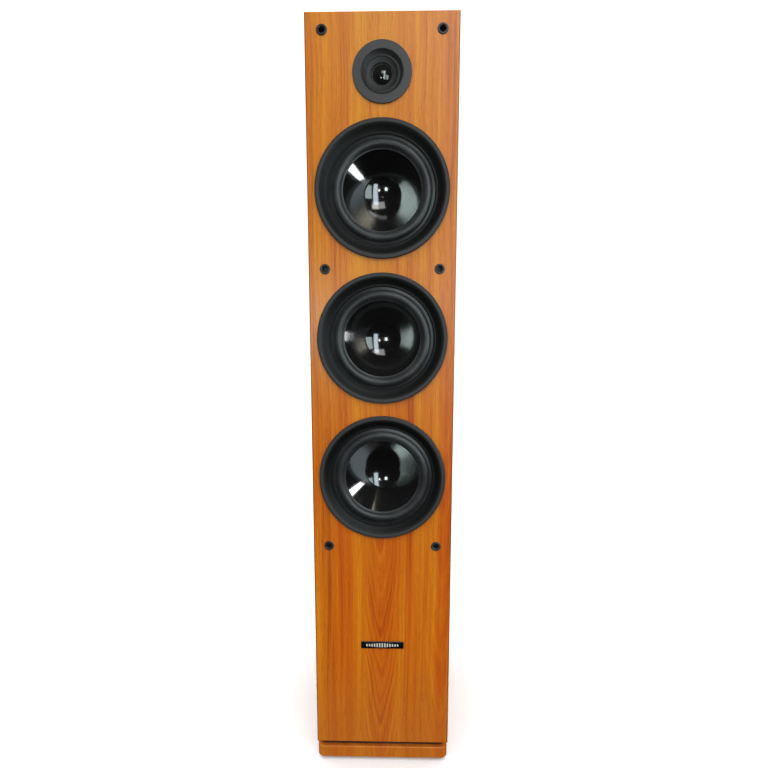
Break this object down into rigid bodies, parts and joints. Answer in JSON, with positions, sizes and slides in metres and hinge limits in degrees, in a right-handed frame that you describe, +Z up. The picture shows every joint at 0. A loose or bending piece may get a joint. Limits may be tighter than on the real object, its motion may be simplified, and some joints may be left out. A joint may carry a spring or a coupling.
{
  "type": "floorstanding speaker",
  "caption": "Tall slim wood-finish floorstanding loudspeaker: dome tweeter above stacked cone woofers on a plinth, with a rear reflex port and binding posts.",
  "frame": {"origin": "centre of the overall footprint, on the floor under the rubber feet", "axes": "+Z up, the front baffle faces -Y, +X to the right of someone facing the front"},
  "size_m": [0.21, 0.2992, 1.118],
  "materials": {
    "wood_vinyl": "satin cherry-pattern vinyl wrap with vertical grain",
    "black_board": "black vinyl-faced board",
    "raw_board": "bare medium-density board",
    "wadding": "white polyester fibre wadding",
    "rubber": "matte black rubber",
    "trim_rubber": "soft satin black rubber",
    "screw_steel": "black oxide steel",
    "badge": "black plate with a plain metallic bar",
    "black_plastic": "fine-textured black plastic",
    "trim_plastic": "dark grey moulded plastic",
    "frame_paint": "black powder-coated pressed steel",
    "cone_gloss": "glossy black moulded polymer",
    "dome_gloss": "glossy dark dome",
    "copper": "enamelled copper winding",
    "spider_cloth": "resin-stiffened woven cloth",
    "ferrite": "ground ferrite",
    "zinc_steel": "zinc-plated steel",
    "brass_tabs": "tinned brass tabs on a fibre strip",
    "gold_brass": "gold-plated brass",
    "cap_black": "fluted black plastic",
    "cap_red": "fluted red plastic",
    "board_green": "fibre-glass circuit board",
    "capacitor_film": "wrapped film capacitor",
    "resistor_ceramic": "white ceramic resistor body",
    "wire_sheath": "insulated copper lead"
  },
  "bodies": {
    "root": {"front_baffle": "wood_vinyl", "side_panel_left": "wood_vinyl", "side_panel_right": "wood_vinyl", "top_panel": "wood_vinyl", "bottom_panel": "black_board", "rear_panel": "black_board", "window_braces": "raw_board", "damping_pad": "wadding", "plinth_riser": "black_board", "plinth": "wood_vinyl", "rubber_feet": "rubber", "base_screws": "screw_steel", "name_badge": "badge", "grille_cups": "black_plastic", "woofer_upper_basket": "frame_paint", "woofer_upper_trim_ring": "trim_rubber", "woofer_upper_surround": "rubber", "woofer_upper_spider": "spider_cloth", "woofer_middle_basket": "frame_paint", "woofer_middle_trim_ring": "trim_rubber", "woofer_middle_surround": "rubber", "woofer_middle_spider": "spider_cloth", "woofer_lower_basket": "frame_paint", "woofer_lower_trim_ring": "trim_rubber", "woofer_lower_surround": "rubber", "woofer_lower_spider": "spider_cloth", "woofer_gaskets": "rubber", "woofer_magnets": "ferrite", "woofer_motor_steel": "zinc_steel", "woofer_terminals": "brass_tabs", "tweeter_cover": "trim_plastic", "tweeter_faceplate": "trim_plastic", "tweeter_surround": "rubber", "tweeter_magnet": "ferrite", "tweeter_terminals": "brass_tabs", "tweeter_motor_steel": "zinc_steel", "driver_screws": "screw_steel", "reflex_port": "black_plastic", "terminal_cup": "black_plastic", "binding_posts": "gold_brass", "crossover_board": "board_green", "crossover_chokes": "copper", "crossover_capacitors": "capacitor_film", "crossover_resistors": "resistor_ceramic", "wiring": "wire_sheath"},
    "woofer_upper_diaphragm": {"woofer_upper_cone": "cone_gloss", "woofer_upper_dust_cap": "cone_gloss", "woofer_upper_voice_coil": "copper"},
    "woofer_middle_diaphragm": {"woofer_middle_cone": "cone_gloss", "woofer_middle_dust_cap": "cone_gloss", "woofer_middle_voice_coil": "copper"},
    "woofer_lower_diaphragm": {"woofer_lower_cone": "cone_gloss", "woofer_lower_dust_cap": "cone_gloss", "woofer_lower_voice_coil": "copper"},
    "tweeter_diaphragm": {"tweeter_dome": "dome_gloss", "tweeter_voice_coil": "copper"},
    "clamp_washer_black": {"post_washer_black": "gold_brass"},
    "clamp_cap_black": {"post_cap_black": "cap_black"},
    "clamp_washer_red": {"post_washer_red": "gold_brass"},
    "clamp_cap_red": {"post_cap_red": "cap_red"}
  },
  "joints": [
    {"name": "woofer_upper_stroke", "type": "slide", "parent": "root", "child": "woofer_upper_diaphragm", "axis": [0, -1, 0], "range_m": [-0.004, 0.004], "stiffness_N_per_m": 1200, "deforming": ["woofer_upper_surround", "woofer_upper_spider"]},
    {"name": "woofer_middle_stroke", "type": "slide", "parent": "root", "child": "woofer_middle_diaphragm", "axis": [0, -1, 0], "range_m": [-0.004, 0.004], "stiffness_N_per_m": 1200, "deforming": ["woofer_middle_surround", "woofer_middle_spider"]},
    {"name": "woofer_lower_stroke", "type": "slide", "parent": "root", "child": "woofer_lower_diaphragm", "axis": [0, -1, 0], "range_m": [-0.004, 0.004], "stiffness_N_per_m": 1200, "deforming": ["woofer_lower_surround", "woofer_lower_spider"]},
    {"name": "tweeter_stroke", "type": "slide", "parent": "root", "child": "tweeter_diaphragm", "axis": [0, -1, 0], "range_m": [-0.0003, 0.0003], "stiffness_N_per_m": 60, "deforming": ["tweeter_surround"]},
    {"name": "clamp_washer_black_slide", "type": "slide", "parent": "root", "child": "clamp_washer_black", "axis": [0, 1, 0], "range_m": [0, 0.005]},
    {"name": "clamp_cap_black_turn", "type": "hinge", "parent": "clamp_washer_black", "child": "clamp_cap_black", "pos_m": [-0.0095, 0.13455, 0.193], "axis": [0, 1, 0], "range_deg": [0, 1800]},
    {"name": "clamp_washer_red_slide", "type": "slide", "parent": "root", "child": "clamp_washer_red", "axis": [0, 1, 0], "range_m": [0, 0.005]},
    {"name": "clamp_cap_red_turn", "type": "hinge", "parent": "clamp_washer_red", "child": "clamp_cap_red", "pos_m": [0.0095, 0.13455, 0.193], "axis": [0, 1, 0], "range_deg": [0, 1800]}
  ],
  "couplings": [
    {"joint": "clamp_cap_black_turn", "follows": "clamp_washer_black_slide", "rad_per_m": 6283},
    {"joint": "clamp_cap_red_turn", "follows": "clamp_washer_red_slide", "rad_per_m": 6283}
  ]
}
